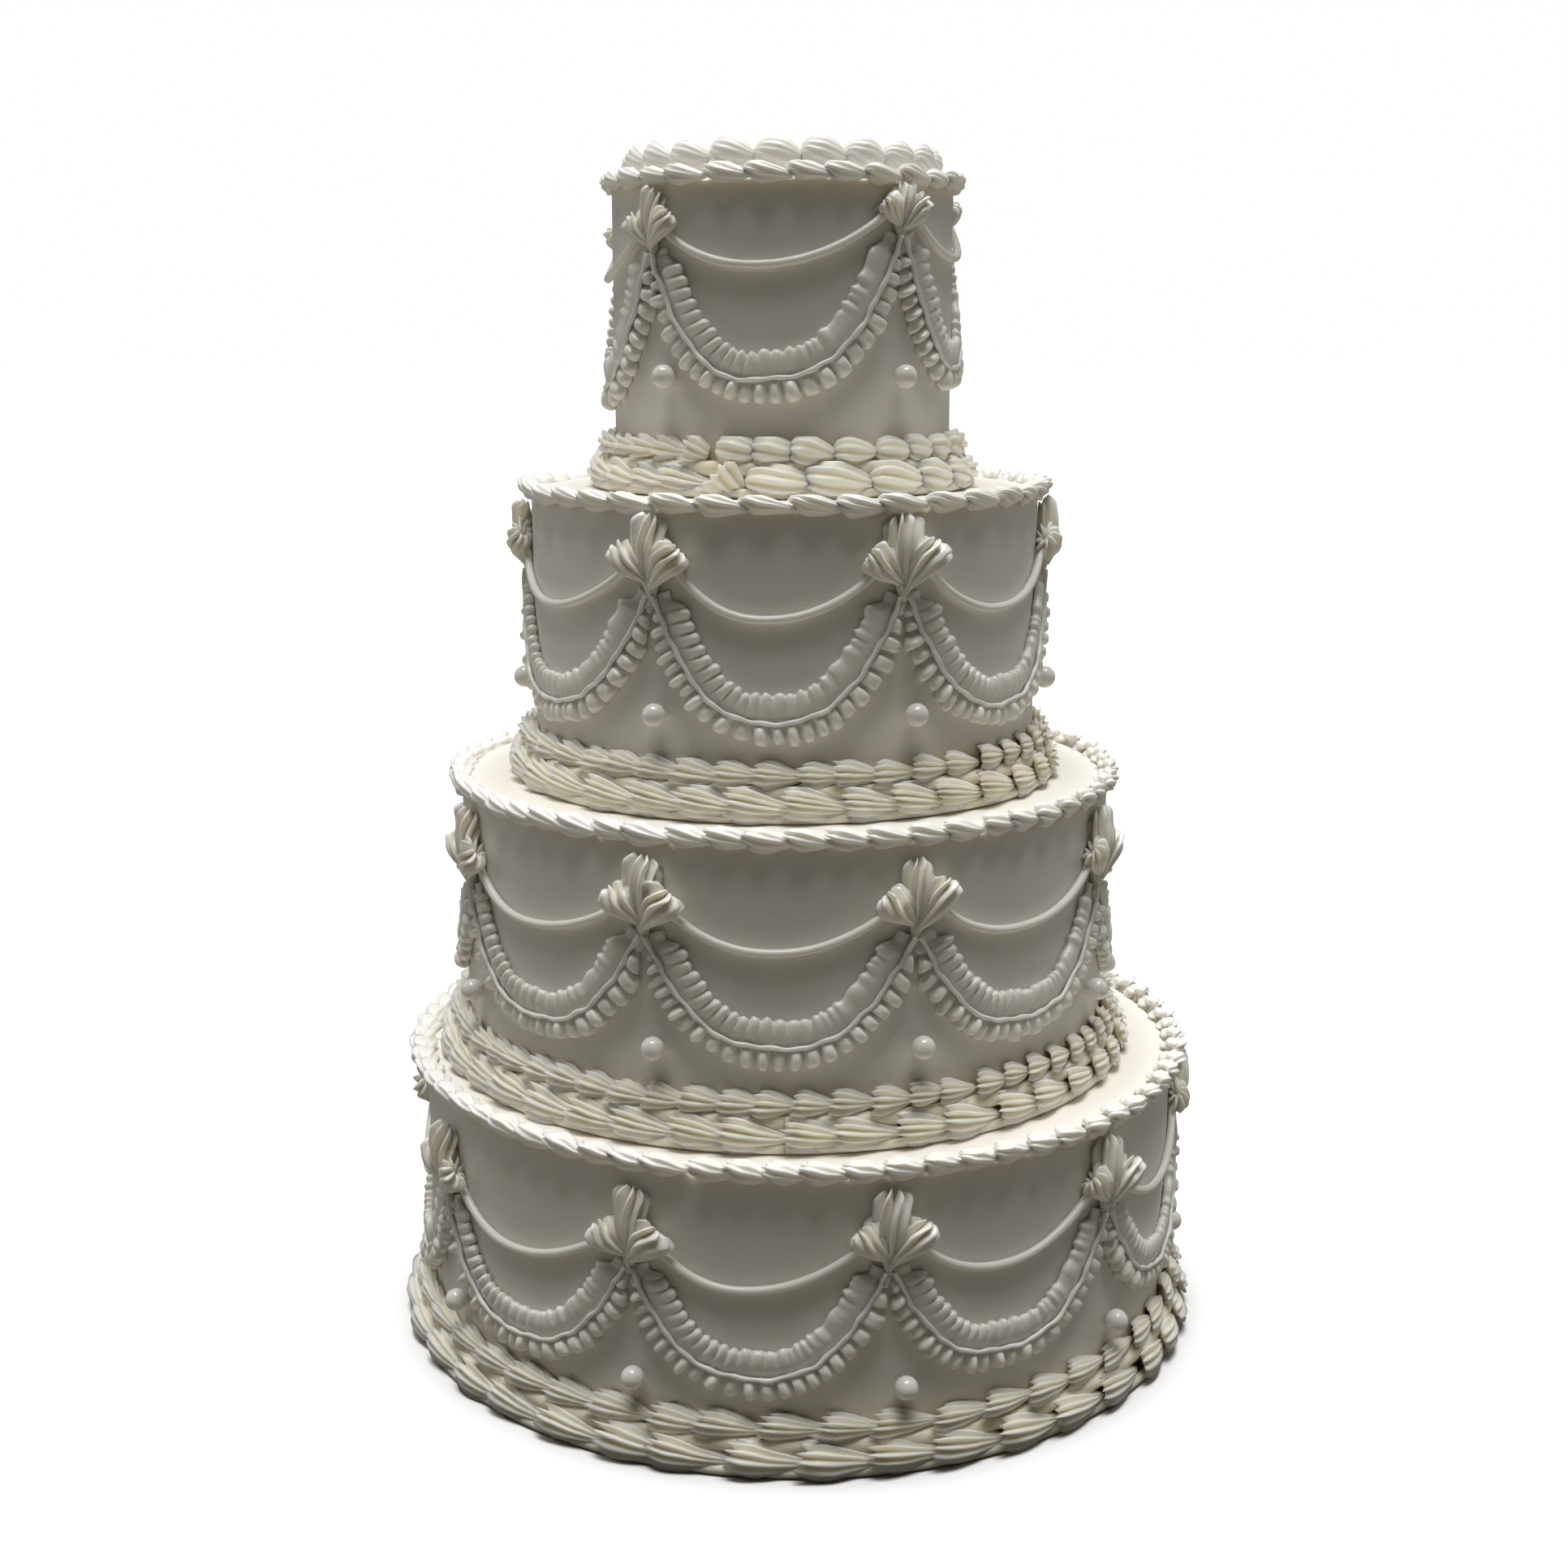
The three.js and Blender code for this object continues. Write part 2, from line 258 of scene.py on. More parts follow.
pearlLook = dict(
    rimLook, light=(0.88, 0.86, 0.81), warmToneAndShade=(0.84, 0.80, 0.72), roughness=0.16, bump=0.02,
    glow=0.3, shine=0.6,
)
wallCream = buttercream("wallCream", wallLook)
rimCream = buttercream("rimCream", rimLook)
drapeCream = buttercream("drapeCream", drapeLook)
footCream = buttercream("footCream", footLook)
pearlSugar = buttercream("pearlSugar", pearlLook)
print("materials made")


# The underside starts at a share of the radius and the top ends near the middle; a pole closes each.
wallSurface = dict(columns=288, wallRows=44, bendRows=7, topRows=26, underside=0.5, middle=1,
                   uneven=0.22, unevenSize=55, footFade=4)
# Where warm shade is painted on the wall: up to foot above its foot, behind the rows of shells, and
# from edge below its top, under the rim, each with its fade, and past the wall over a share of the bend.
wallShadePaint = dict(foot=27, edge=9, fade=8, footShade=0.9, edgeShade=0.6, bendShare=0.4)


# A tier is a profile turned round its axis: up the wall, round the top edge on a quarter circle
# and in to the middle. Its skin leaves the true form by small smooth waves.
def icedTier(tier):
    rng = np.random.default_rng(seeds["wall"] + tier["number"])
    radius, bend = tier["radius"], tier["bevel"]
    foot = 0 if tier["number"] == 4 else gap
    wall = np.linspace(foot, tierHeight - bend, wallSurface["wallRows"])
    turn = np.linspace(0, math.pi / 2, wallSurface["bendRows"])[1:]
    top = np.linspace(radius - bend, wallSurface["middle"], wallSurface["topRows"])[1:]
    curve = radius - bend + bend * np.cos(turn)
    out = np.concatenate([[radius * wallSurface["underside"]], np.full(len(wall), radius), curve, top])
    curve = tierHeight - bend + bend * np.sin(turn)
    up = np.concatenate([[foot], wall, curve, np.full(len(top), tierHeight)])
    azimuth = np.linspace(0, 2 * math.pi, wallSurface["columns"], endpoint=False)
    points = np.stack([
        tier["x"] + out[:, None] * np.sin(azimuth), -out[:, None] * np.cos(azimuth),
        np.broadcast_to(tier["foot"] + up[:, None], (len(up), len(azimuth))),
    ], axis=-1)
    skin = np.clip((up - foot) / wallSurface["footFade"], 0, 1)[:, None, None]
    points += skin * unevenness(points, wallSurface["unevenSize"], wallSurface["uneven"], rng)
    # Painted warm shade, strongest near the foot and just below the top edge, where the rows and the rim
    # shade the wall.
    fromFoot = np.clip((wallShadePaint["foot"] - up) / wallShadePaint["fade"], 0, 1)
    fromEdge = np.clip((up - tierHeight + wallShadePaint["edge"]) / wallShadePaint["fade"], 0, 1)
    paintedShade = fromFoot * wallShadePaint["footShade"] + fromEdge * wallShadePaint["edgeShade"]
    paintedShade = paintedShade * (out > radius - bend * wallShadePaint["bendShare"])
    paintedShade = np.broadcast_to(paintedShade[:, None], points.shape[:2])
    makePiece(f"icedTier_{tier['number']}", points[None], wallCream,
              [f"tier_{tier['number']}"], paintedShade[None])


for tier in tiers:
    icedTier(tier)
print("tier walls made")


# A shell's form: the fins round it, how deep they are, how much deeper at the head and shallower
# at the tail, and how sharp; its head's share of the girth and the share of its first ring, how
# much it grows from there like a dome, where it is widest and how much that differs, the power of
# its taper and its tail's share; how far the head bows towards what it lies on and how far its fins
# start behind the nearest one, like stairs; how far the tips spread like petals and reach back
# past the head, how pointed they are, how hollow the head is, how round its edge, the fins' twist
# from a still place and the further twist of the tips, and how unlike each other the fins are.
shellForm = dict(fins=12, depth=0.3, flare=0.3, shallower=0.4, sharp=1.2, head=0.62, first=0.5, dome=0,
                 widest=0.22, widestChange=0.12, taper=1.5, tail=0.12, bow=0, stair=0, petal=0, tips=0.09,
                 point=0.8, hollow=0.06, lip=0.12, twist=0.25, still=0.3, curl=0.0, finChange=0.12)
shellForm["stations"] = (0, 0.025, 0.07, 0.14, 0.22, 0.34, 0.47, 0.6, 0.74, 0.88, 1)  # head to tail
shellForm["finPlaces"] = (0, 0.17, 0.38, 0.62, 0.83)  # from one fin's crest to the next
headReach = dict(lip=0.05, petal=0.15, flare=0.25, tips=0.3, curl=0.35, bow=0.45)  # as shares of a shell


# From 1 at a shell's head to 0 where the feature ends, as a power of the way left.
def fading(along, feature, power=2):
    return np.maximum(1 - along / headReach[feature], 0) ** power


# Closed tubes from each head to each tail. The girth grows as a quarter sine, or for a dome as a
# quarter circle, to the widest place and falls from there as one minus a power of the way to the
# tail. Round a shell it falls from each fin's crest to the groove beside it, most at the head,
# where the crests reach back as tips. The head's end bows down as a square of the way to it.
def shellTubes(form, head, tail, facing, width, height, rng):
    count = len(head)
    axis = tail - head
    length = np.linalg.norm(axis, axis=1)[:, None, None]
    heading = axis / length[:, 0]
    facing = facing - heading * np.sum(facing * heading, axis=1, keepdims=True)
    facing /= np.linalg.norm(facing, axis=1, keepdims=True)
    across = np.cross(facing, heading)
    along = np.append(0, form["stations"])[None, :, None]  # the first ring lies inside the head
    inner = np.zeros_like(along)
    inner[0, 0] = 1
    lip = form["lip"] * fading(along, "lip")
    phase = np.tile(form["finPlaces"], form["fins"])
    fin = np.repeat(np.arange(form["fins"]), len(form["finPlaces"]))
    finSize = 1 + form["finChange"] * rng.normal(size=(count, 1, form["fins"]))
    crest = (0.5 + 0.5 * np.cos(2 * math.pi * phase)) ** form["sharp"] * finSize[:, :, fin]
    start = rng.uniform(0, 2 * math.pi, (count, 1, 1))
    theta = 2 * math.pi * (fin + phase) / form["fins"] + start + form["twist"] * (along - form["still"])
    theta = theta - form["curl"] * fading(along, "curl")
    widest = form["widest"] * (1 + form["widestChange"] * rng.normal(size=(count, 1, 1)))
    rise = np.minimum(along / widest, 1)
    circle = np.sqrt(1 - (1 - rise) ** 2)
    grown = np.sin(math.pi / 2 * rise) * (1 - form["dome"]) + circle * form["dome"]
    gone = (np.maximum(along - widest, 0) / (1 - widest)) ** form["taper"]
    girth = (form["head"] + (1 - form["head"]) * grown) * (1 - (1 - form["tail"]) * gone)
    deeper = form["flare"] * fading(along, "flare", 1)
    depth = form["depth"] * (1 - form["shallower"] * along + deeper)
    spread = 1 + form["petal"] * crest * fading(along, "petal") * (1 - inner)
    girth = girth * (1 - depth * (1 - crest)) * (1 - form["first"] * inner - lip) * spread
    reach = along - form["tips"] * crest ** form["point"] * fading(along, "tips") * (1 - inner)
    reach = reach + form["hollow"] * inner + form["stair"] * (1 - np.sin(theta)) / 2 * (1 - along)
    bow = form["bow"] * length * fading(along, "bow")
    lift = height[:, None, None] / 2 * girth * np.sin(theta) - bow
    side = width[:, None, None] / 2 * girth * np.cos(theta)
    points = (
        head[:, None, None] + heading[:, None, None] * (reach * length)[..., None]
        + across[:, None, None] * side[..., None] + facing[:, None, None] * lift[..., None]
    )
    # The grooves' depth, from which the material paints warm shade.
    hollow = np.clip(1 - crest, 0, 1) * np.ones_like(girth)
    return points, hollow


# How unlike the shells of a ring are: in place as a share of the pitch, in their heads' and tails'
# height and in size, and the size and amount of their unevenness.
shellChange = dict(place=0.06, headUp=0.5, tailUp=0.3, size=0.06, unevenSize=9, uneven=0.25)


# Heads and tails of the shells of one ring, a pitch apart, each a little different. A shell's
# share is the part of the ring before it, counted from the join; shrink makes the pitch fall
# evenly with it, so the place is the share plus shrink times the share less its square.
def ringOfShells(row, count, radius, rng):
    pitch = 2 * math.pi * radius / count
    loose = rng.normal(size=(5, count)) * row["change"]
    zero = np.zeros(count)
    share = (np.arange(count) + row["start"] + shellChange["place"] * loose[0]) / count
    size = 1 + row["shrink"] * (1 - 2 * share)
    start = pitch * count * (share + row["shrink"] * (share - share**2))
    start = start + math.radians(row["join"]) * radius
    end = start + pitch * row["overlap"] * size
    headUp = row["headUp"] + shellChange["headUp"] * loose[1]
    tailUp = row["tailUp"] + shellChange["tailUp"] * loose[2]
    head = np.stack([start, headUp, zero + row["headOut"]], axis=1)
    tail = np.stack([end, tailUp, zero + row["tailOut"]], axis=1)
    tilt = math.radians(row["facing"])
    facing = np.stack([zero, zero + math.sin(tilt), zero + math.cos(tilt)], axis=1)
    width = row["width"] * (1 + shellChange["size"] * loose[3]) * size**0.5
    height = row["height"] * (1 + shellChange["size"] * loose[4]) * size**0.5
    return head, tail, facing, width, height


# Keeps shells inside their node's box and off the wall and the ledge.
def keepInside(points, tier, node, radius, lowest, nearest):
    low, high = nodeBox(node)
    points[..., 1] = np.clip(points[..., 1], lowest, high[2] - tier["foot"] - boxMargin)
    points[..., 2] = np.clip(points[..., 2], nearest, (high[0] - low[0]) / 2 - radius - boxMargin)


# A ring of shells as one piece. Those nearest the join may be rounded, and a star closes that ring.
def shellRing(name, tier, row, form, count, radius, material, node, seed):
    rng = np.random.default_rng(seed)
    places = ringOfShells(row, count, radius, rng)
    points, hollow = shellTubes(form, *places, rng)
    if row["rounded"]:
        rounder, rounderHollow = shellTubes(dict(form, **roundedForm), *places, rng)
        points[:row["rounded"]] = rounder[:row["rounded"]]
        hollow[:row["rounded"]] = rounderHollow[:row["rounded"]]
        points, hollow = points[:-1], hollow[:-1]  # the closing star takes the last one's place
    uneven = row["change"] * shellChange["uneven"]
    points = points + unevenness(points, shellChange["unevenSize"], uneven, rng)
    keepInside(points, tier, node, radius, row["lowest"], row["nearest"])
    makePiece(name, wrap(tier, points, radius), material, [node], hollow)


# The rows of shells. A row's overlap is a shell's length in pitches, facing is how far the shells
# look up in degrees, middle is how far the row's middle is from the wall, and the heads' and tails'
# places are up and out from there. Its shells' form and overlap are given for each tier.
evenRow = dict(join=0, shrink=0, rounded=0, change=1)
roundedForm = dict(depth=0.27, sharp=0.75, head=0.5, dome=1, widest=0.32, taper=1.5, stair=0.12, tips=0.0,
                   hollow=-0.03, lip=0.3, bow=0.06, twist=0.5)

footForm = dict(shellForm, depth=0.33, sharp=1.4, stair=0.4, tips=0.13, point=1.5)
footForms = {
    1: dict(footForm, fins=11, head=0.82, widest=0.15, taper=1.2, tail=0.2),
    2: dict(footForm, fins=16, head=0.9, widest=0.12, taper=1.15, tail=0.2),
    3: dict(footForm, fins=14, head=0.9, widest=0.12, taper=1.2, tail=0.15),
    4: dict(footForm, fins=13, head=0.88, widest=0.13, taper=1.2, tail=0.15),
}
footRow = dict(evenRow, name="footShells", node="base_lower", shells="lowerShells", seed=seeds["lowerRow"],
               forms=footForms, overlaps={1: 1.3, 2: 1.3, 3: 1.25, 4: 1.15}, start=0.0, facing=25,
               headUp=8.4, tailUp=5.6, headOut=0.2, tailOut=0.2, width=18, height=15.8, middle=6.0,
               first=dict(join=-15.8, start=0.32, shrink=0.2, rounded=6))

upperForm = dict(shellForm, fins=12, depth=0.35, sharp=1.3, head=0.88, widest=0.12, taper=1.1, tail=0.15,
                 stair=0.4, tips=0.15, point=1.5)
upperForms = dict.fromkeys((2, 3, 4), upperForm)
upperForms[1] = dict(upperForm, fins=9)
upperRow = dict(evenRow, name="upperShells", node="base_upper", shells="upperShells",
                seed=seeds["upperRow"], forms=upperForms, overlaps={1: 1.25, 2: 1.25, 3: 1.2, 4: 1.15},
                start=0.3, facing=10, headUp=19.4, tailUp=18.7, headOut=0, tailOut=-0.2, width=14.2,
                height=12.8, middle=2.8, first=dict(join=-26.7, start=0.35, shrink=0.15, rounded=9))

rimForm = dict(shellForm, fins=9, depth=0.2, flare=0.2, sharp=0.9, head=0.42, dome=1, widest=0.24,
               taper=1.2, tail=0.24, bow=0.05, stair=0.25, tips=0.05, twist=0.4, curl=0.6, hollow=-0.02,
               lip=0.3)
rimForms = dict.fromkeys((1, 2), rimForm)
rimForms[3] = rimForms[4] = dict(rimForm, fins=8, depth=0.26, head=0.7, widest=0.2, tail=0.2, bow=0,
                                 stair=0.35, tips=0.12, point=1, twist=0.3, curl=0.2, hollow=0.02)
anywhere = -99  # a limit that a row never reaches
rimRow = dict(evenRow, start=0.1, overlap=1.15, facing=35, headUp=1.2, tailUp=-1.2, headOut=-0.3,
              tailOut=0.3, lowest=0, nearest=anywhere)
rimGirth = dict(bevelShare=0.6, more=2.5)  # what a rim's girth has besides its reach past the wall

crownForm = dict(shellForm, fins=17, depth=0.085, flare=0, sharp=0.7, head=0.3, dome=1, widest=0.42,
                 taper=2.0, tail=0.25, bow=0.08, stair=0.1, tips=0.0, hollow=-0.03, lip=0.3, twist=0.6,
                 curl=0.6)
crownRow = dict(evenRow, start=0.35, overlap=1.06, change=0.6, facing=80, headUp=0, tailUp=-0.6, headOut=0,
                tailOut=0, width=15, height=18.5, shells=21, lowest=tierHeight + gap, nearest=anywhere)


# The two rows at a tier's foot.
def footRows(tier):
    number = tier["number"]
    for row in (footRow, upperRow):
        placed = dict(row, overlap=row["overlaps"][number], lowest=0 if number == 4 else gap,
                      nearest=gap - row["middle"])
        if number == 1:
            placed.update(row["first"])
        shellRing(f"{row['name']}_{number}", tier, placed, row["forms"][number], tier[row["shells"]],
                  tier["radius"] + row["middle"], footCream, f"{row['node']}_{number}",
                  row["seed"] + number)


# A row moved up, with other changes.
def raised(row, up, **changes):
    return dict(row, headUp=row["headUp"] + up, tailUp=row["tailUp"] + up, **changes)


# The row on a tier's top edge.
def rimShells(tier):
    number = tier["number"]
    girth = tier["rimReach"] + tier["bevel"] * rimGirth["bevelShare"] + rimGirth["more"]
    placed = raised(rimRow, tierHeight + tier["rimMiddle"], width=tier["rimHeight"], height=girth)
    shellRing(f"rimShells_{number}", tier, placed, rimForms[number], tier["rimShells"],
              tier["radius"] + tier["rimReach"] - girth / 2, rimCream, f"rim_{number}",
              seeds["rim"] + number)


# The row of large shells on the cake's top.
def crownShells(tier):
    low, high = nodeBox("crown_1")
    placed = raised(crownRow, (low[2] + high[2]) / 2 - tier["foot"])
    shellRing("crownShells", tier, placed, crownForm, crownRow["shells"],
              (high[0] - low[0] - crownRow["width"]) / 2, rimCream, "crown_1", seeds["crown"])


cordColumns = 12


# A round cord along a path: a circle as thick as the cord is carried along it, out from the wall.
def cordTube(path, slope, thickness, out):
    theta = np.linspace(0, 2 * math.pi, cordColumns, endpoint=False)
    normal = np.stack([-slope[:, 1], slope[:, 0]], axis=1)
    side = thickness[:, None] / 2 * np.cos(theta)
    lift = thickness[:, None] / 2 * np.sin(theta)
    flat = path[:, None] + normal[:, None] * side[..., None]
    return np.concatenate([flat, (out[:, None] + lift)[..., None]], axis=2)[:, ::-1]


bed = dict(steps=120, cords=((12.2, 4.2, 6.8), (2.4, 8.6, 4.2)))  # each cord's up, out and thickness


# The icing under and between the two rows at a tier's foot: cords that go right round the wall.
# They are given a full groove depth everywhere, so all of them take the painted warm shade.
def footBed(tier):
    number, steps = tier["number"], bed["steps"]
    along = np.linspace(0, 2 * math.pi * tier["radius"], steps)
    slope = np.broadcast_to([1.0, 0.0], (steps, 2))
    tubes = []
    for up, out, thickness in bed["cords"]:
        path = np.stack([along, np.full(steps, up)], axis=1)
        tubes.append(cordTube(path, slope, np.full(steps, thickness), np.full(steps, out)))
    points = np.array(tubes)
    # Full groove depth all over: the whole bed is painted with warm shade.
    makePiece(f"footBed_{number}", wrap(tier, points, tier["radius"]), footCream,
              [f"base_lower_{number}"], np.ones(points.shape[:3]))


# The shell that closes a row is squeezed in upright, with its fins spread like a star.
starForm = dict(footForms[1], fins=10, depth=0.4, flare=0.4, head=0.9, widest=0.1, taper=1.1, tail=0.5,
                stair=0.25, petal=0.3, tips=0.3, point=1.2, hollow=0.1)
starFacing = (0.2, 0.3, 1.0)
stars = (
    dict(name="footStar", node="base_lower_1", azimuth=-15.8, head=(-4, 11, 9), tail=(4, 3, 5),
         width=20, height=15),
    dict(name="upperStar", node="base_upper_1", azimuth=-26.7, head=(-4, 21, 5), tail=(4, 18, 2),
         width=14, height=11),
)


def closingStar(tier, star):
    rng = np.random.default_rng(seeds["star"])
    start = np.array([math.radians(star["azimuth"]) * tier["radius"], 0, 0])
    head, tail = start + star["head"], start + star["tail"]
    size = np.array([[star["width"]], [star["height"]]])
    points, hollow = shellTubes(starForm, head[None], tail[None], np.array([starFacing]), *size, rng)
    keepInside(points, tier, star["node"], tier["radius"], gap, gap)
    makePiece(star["name"], wrap(tier, points, tier["radius"]), footCream,
              [star["node"]], hollow)


for tier in tiers:
    footBed(tier)
    footRows(tier)
    rimShells(tier)
crownShells(tiers[0])
for star in stars:
    closingStar(tiers[0], star)
print("shell borders made")


postForm = dict(shellForm, fins=9, depth=0.4, flare=0.5, sharp=0.75, head=0.76, dome=1, widest=0.17,
                taper=1.1, tail=0.17, bow=0.13, stair=0.22, petal=0.25, tips=0.17, hollow=0.02, lip=0.45,
                twist=0.25, curl=0.5, finChange=0.2, point=0.55,
                stations=(0, 0.012, 0.03, 0.055, 0.09, 0.13, 0.18, 0.25, 0.34, 0.45, 0.58, 0.72, 0.86, 1),
                finPlaces=(0, 0.09, 0.19, 0.32, 0.5, 0.68, 0.81, 0.91))
# Each shell's length and size, how far it stands out and leans, and how far its tail hangs below
# the place where the three meet.
postShells = dict(upright=dict(length=23, width=15.5, height=13, lift=0.4, lean=2, tail=-9),
                  left=dict(length=17, width=15.5, height=12, lift=2.0, lean=-46, tail=-1.5),
                  right=dict(length=17.5, width=15.5, height=12, lift=2.9, lean=45, tail=-3.5))
# That place above the post's own, the upright's distance from the tier's top, the heads' and
# tails' distance from the wall, how far the shells look to their side and up, how unlike each
# other they are, and their unevenness.
postPiping = dict(rise=4, below=4, headOut=4.6, tailOut=2.0, faceSide=0.25, faceUp=0.3, leanChange=0.08,
                  lengthChange=0.05, sizeChange=0.06, uneven=0.4, unevenSize=12)


# Where the posts of a tier stand on its wall.
def postPlaces(tier):
    up = tierHeight - tier["postDrop"] + tier["postTilt"] * np.sin(tier["posts"])
    return np.stack([tier["posts"] * tier["radius"], up, np.zeros(len(up))], axis=1)


# Three shells a post, whose tails meet: one upright behind and one to each side in front of it.
def fleurPosts(tier):
    rng = np.random.default_rng(seeds["posts"] + tier["number"])
    places = postPlaces(tier)
    size = tier["postSize"]
    meeting = places + [0, postPiping["rise"] * size, 0]
    count = len(places)
    tubes, hollows = [], []
    for part, shell in postShells.items():
        slant = math.radians(shell["lean"]) + rng.normal(size=count) * postPiping["leanChange"]
        reach = size * shell["length"] * (1 + rng.normal(size=count) * postPiping["lengthChange"])
        if part == "upright":
            reach = np.minimum(reach, tierHeight - postPiping["below"] - meeting[:, 1])
        direction = np.stack([np.sin(slant), np.cos(slant), np.zeros(count)], axis=1)
        head = meeting + direction * reach[:, None] + [0, 0, size * postPiping["headOut"] + shell["lift"]]
        tail = meeting + [0, size * shell["tail"], size * postPiping["tailOut"] + shell["lift"]]
        facing = np.stack([
            postPiping["faceSide"] * np.sin(slant), np.full(count, postPiping["faceUp"]), np.ones(count),
        ], axis=1)
        width = size * shell["width"] * (1 + rng.normal(size=count) * postPiping["sizeChange"])
        height = size * shell["height"] * (1 + rng.normal(size=count) * postPiping["sizeChange"])
        points, hollow = shellTubes(postForm, head, tail, facing, width, height, rng)
        tubes.append(points)
        hollows.append(hollow)
    points = np.concatenate(tubes)
    points = points + unevenness(points, postPiping["unevenSize"], postPiping["uneven"], rng)
    points[..., 2] = np.maximum(points[..., 2], gap)
    makePiece(f"fleurPosts_{tier['number']}", wrap(tier, points, tier["radius"]), drapeCream,
              [f"drape_{tier['number']}"], np.concatenate(hollows))


# A drape's ends, across and up from its posts; the power of its bend, how far its lowest point is
# off the middle as a share of the span, and how much it wanders up and down.
ropeDrape = dict(startAcross=10, startUp=9, bend=2.2, skew=0.03, wander=0.4)
festoonDrape = dict(startAcross=1.5, startUp=-2.5, bend=2.6, skew=0.015, wander=0.6)
rope = dict(diameter=3.6, out=2.3, rows=72, change=0.03, changeLength=7)
drapeSamples = 400


# A drape from one post to the next at evenly spaced arc lengths: with t from -1 to 1, the height
# above the lowest point grows as a power of |t|.
def drapePath(tier, start, end, sag, drape, rows, rng):
    t = np.linspace(-1, 1, drapeSamples)
    size = tier["postSize"]
    inset = drape["startAcross"] * size
    share = (t + 1) / 2
    along = start[0] + inset + (end[0] - start[0] - 2 * inset) * share
    middle = drape["skew"] * (1 - t * t)
    up = start[1] + (end[1] - start[1]) * share - sag
    up = up + (sag + drape["startUp"] * size) * np.abs(t) ** drape["bend"]
    along = along - middle * (end[0] - start[0])
    up = up + drape["wander"] * np.sin(3.1 * t + rng.uniform(0, 6)) * (1 - t * t)  # about one wave
    walked = np.concatenate([[0], np.cumsum(np.hypot(np.diff(along), np.diff(up)))])
    even = np.linspace(0, walked[-1], rows)
    path = np.stack([np.interp(even, walked, along), np.interp(even, walked, up)], axis=1)
    slope = np.gradient(path, axis=0)
    slope /= np.linalg.norm(slope, axis=1, keepdims=True)
    return path, slope, even


def postPairs(tier):
    places = postPlaces(tier)
    following = np.roll(places, -1, axis=0)
    following[-1, 0] += 2 * math.pi * tier["radius"]
    return zip(places, following)


def ropeDrapes(tier):
    rng = np.random.default_rng(seeds["ropes"] + tier["number"])
    tubes = []
    for start, end in postPairs(tier):
        path, slope, even = drapePath(tier, start, end, tier["ropeSag"], ropeDrape, rope["rows"], rng)
        change = rope["change"] * np.sin(even / rope["changeLength"] + rng.uniform(0, 6))
        thickness = rope["diameter"] * (1 + change)
        tubes.append(cordTube(path, slope, thickness, np.full(len(path), rope["out"])))
    makePiece(f"ropeDrapes_{tier['number']}", wrap(tier, np.array(tubes), tier["radius"]),
              drapeCream, [f"drape_{tier['number']}"])


# The rows of points on a ruffle for each of its pitches.
samples = 9
# The upper ruffle: the pitch of its pleats on the left and on the right half, its reach from the
# cord, how far the pleats lean, how sharp their folds are, the level in a pleat that stays in
# place, how far they stand out on a flat stretch and how much more on a full one, how unlike each
# other they are, the edge's share of the reach, how much it waves with the pleats and differs, and
# how much it is frilled on a flat stretch, how much less on a full one, and outwards.
pleats = dict(near=5.6, far=8.5, reach=12.8, lean=0.35, fold=0.5, level=0.6, flat=0.35, full=2.0,
              change=0.35, edge=0.86, edgeWave=0.2, edgeChange=0.06, frill=1.1, fullFrill=0.8,
              outFrill=0.5)
# The lower ruffle: its teeth's pitch and its reach, how far the teeth stand out, how much less where
# they are linked, how unlike each other they are, how much less every other one stands out, how
# wide they are and how much that differs, how square they are and how much less on a full stretch,
# how deep the notches between them are and how much less where they are linked, how much they are
# linked on a flat stretch and how much that differs, a tooth's share of the reach and how much that
# differs, and how much the pitch and the lean wander.
teeth = dict(near=5.7, far=7.1, reach=10.2, out=5.3, linkedLess=1.6, change=0.7, recess=0.25,
             wide=0.88, wideChange=0.06, square=5, fullSquare=2.8, notch=0.31, notchLess=0.22,
             linked=0.2, linkedChange=0.5, edge=0.95, edgeChange=0.1, pitchWander=0.3, leanWander=0.18)
ruffleCord = dict(thickness=2.0, change=0.13, out=4.3, outWave=0.3, wander=0.35, ripple=0.2)
# The lengths of the waves along a ruffle and its cord, over 2 pi.
waveLength = dict(frill=1.5, frillShift=5.3, frillFade=3.1, teethPitch=12, teethLean=8, thickness=1.9,
                  wander=3.9, wanderShift=17, ripple=1.6, out=3.7)
# How a festoon changes along its span, with t from -1 to 1: where it goes from full to flat and
# from the near pitch to the far one, how fast both go, how fast the upper ruffle narrows towards
# the posts and to what share, the least share that both stand out there, how fast the lower one
# narrows and to what share, and how much of its sag counts towards its length.
festoon = dict(fullUntil=0.15, nearUntil=0.25, steepness=4, narrowing=9, narrowest=0.55, outLeast=0.5,
               taper=4, taperLeast=0.4, sagLength=1.3)
# Sections from the cord, 0, to the edge, 1, and back along the wall: the place, the distance
# from the wall of the plain sheet, and how much a lobe adds there.
upperSection = np.array([
    (0, 3.6, 0), (0.09, 3.2, 0.1), (0.22, 3.6, 0.18), (0.36, 4.1, 0.36), (0.5, 4.3, 0.6),
    (0.64, 4.2, 0.85), (0.78, 4.0, 1), (0.9, 3.7, 1), (0.97, 3.0, 0.9), (1, 2.0, 0.7), (0.93, 0.4, 0),
    (0.6, 0.35, 0), (0.3, 0.35, 0), (0.05, 0.35, 0),
])
lowerSection = np.array([
    (0, 3.5, 0), (0.12, 1.6, 0.5), (0.26, 1.4, 0.8), (0.4, 1.3, 0.95), (0.54, 1.2, 1),
    (0.68, 1.1, 1), (0.8, 1.0, 0.93), (0.91, 0.9, 0.76), (0.98, 0.8, 0.5), (1, 0.7, 0.2),
    (0.94, 0.35, 0), (0.6, 0.35, 0), (0.3, 0.35, 0), (0.05, 0.35, 0),
])


